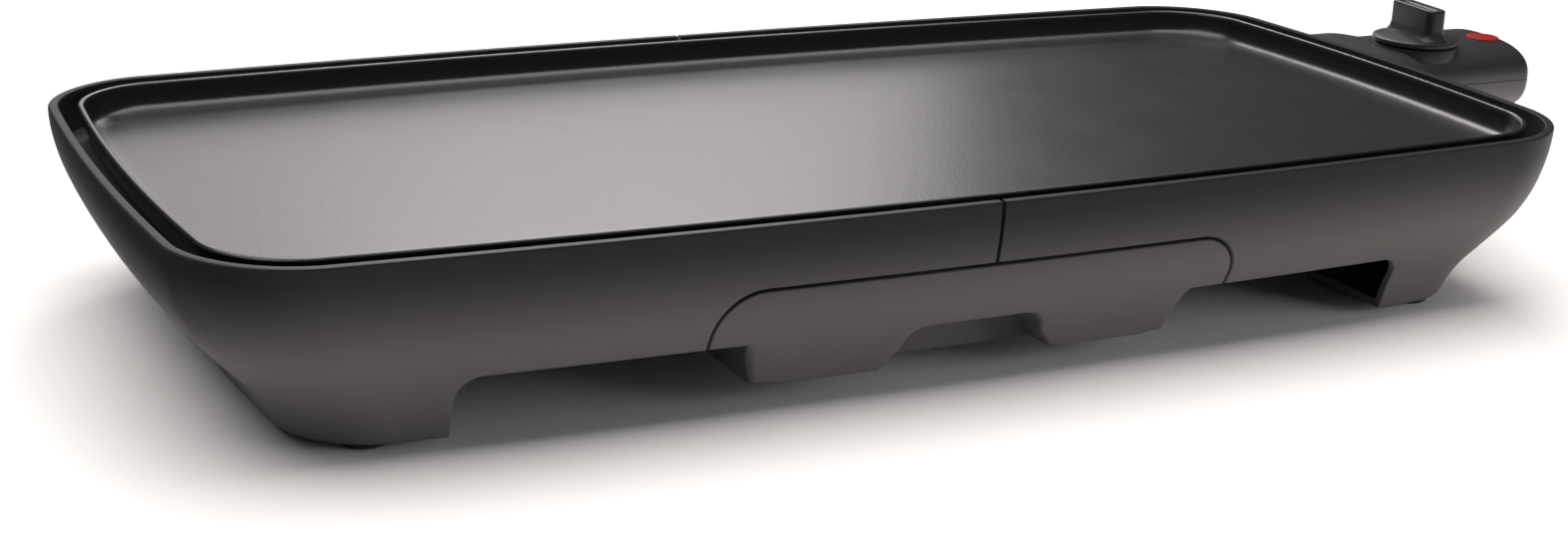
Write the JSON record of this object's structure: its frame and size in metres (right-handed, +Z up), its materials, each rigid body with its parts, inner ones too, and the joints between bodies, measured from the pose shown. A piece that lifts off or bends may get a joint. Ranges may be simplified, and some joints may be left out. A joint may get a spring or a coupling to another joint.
{
  "type": "electric griddle",
  "caption": "Electric table griddle: split moulded base, shallow non-stick plate, pull-out drip tray and plug-in control unit with temperature knob and pilot lens.",
  "frame": {"origin": "middle of the whole object's box, on the surface that the feet stand on", "axes": "+X along the griddle towards the control unit, -Y towards the drip tray's front, +Z up"},
  "size_m": [0.676, 0.2824, 0.0852],
  "materials": {
    "housing": "satin dark warm grey moulded plastic",
    "coated_plate": "black non-stick coating with a fine pebble, satin",
    "black_plastic": "satin black heat-resistant plastic",
    "steel": "satin steel",
    "element_sheath": "dull oxidised sheath",
    "brass": "bright contact metal",
    "ceramic": "off-white unglazed ceramic",
    "rubber": "matt black rubber",
    "red_lens": "translucent red, glossy",
    "lamp_glass": "clear glass"
  },
  "bodies": {
    "base": {"base_right": "housing", "foot_pad_right_front": "rubber", "foot_pad_right_rear": "rubber", "griddle_plate": "coated_plate", "heating_element": "element_sheath", "element_seal_front": "ceramic", "element_seal_rear": "ceramic", "terminal_pin_front": "brass", "terminal_pin_rear": "brass", "element_clamp_1": "steel", "element_clamp_2": "steel", "element_clamp_3": "steel", "element_clamp_4": "steel", "clamp_screw_1": "steel", "clamp_screw_2": "steel", "clamp_screw_3": "steel", "clamp_screw_4": "steel", "plug_guard": "steel", "earth_blade": "brass", "probe_tube": "steel"},
    "left_base": {"base_left": "housing", "foot_pad_left_front": "rubber", "foot_pad_left_rear": "rubber"},
    "tray": {"drip_tray": "housing"},
    "control": {"control_cover": "black_plastic", "control_base": "black_plastic", "cover_screw_1": "steel", "cover_screw_2": "steel", "cover_screw_3": "steel", "cover_screw_4": "steel", "socket_block": "black_plastic", "contact_tube_front": "brass", "contact_tube_rear": "brass", "probe_rod": "steel", "probe_nut": "steel", "thermostat_frame": "steel", "insulator_stack": "ceramic", "fixed_contact": "brass", "moving_contact": "brass", "indicator_lens": "red_lens", "indicator_lamp": "lamp_glass", "terminal_block": "ceramic", "cord_gland": "rubber"},
    "knob": {"control_knob": "black_plastic", "knob_spindle": "steel"}
  },
  "joints": [
    {"name": "base_split", "type": "slide", "parent": "base", "child": "left_base", "axis": [-1, 0, 0], "range_m": [0, 0.03]},
    {"name": "tray_pull", "type": "slide", "parent": "base", "child": "tray", "axis": [0, -1, 0], "range_m": [0, 0.125]},
    {"name": "control_pull", "type": "slide", "parent": "base", "child": "control", "axis": [1, 0, 0], "range_m": [0, 0.13]},
    {"name": "knob_turn", "type": "hinge", "parent": "control", "child": "knob", "pos_m": [0.285, 0.0455, 0.075], "axis": [0, 0, 1], "range_deg": [-240, 0]}
  ]
}
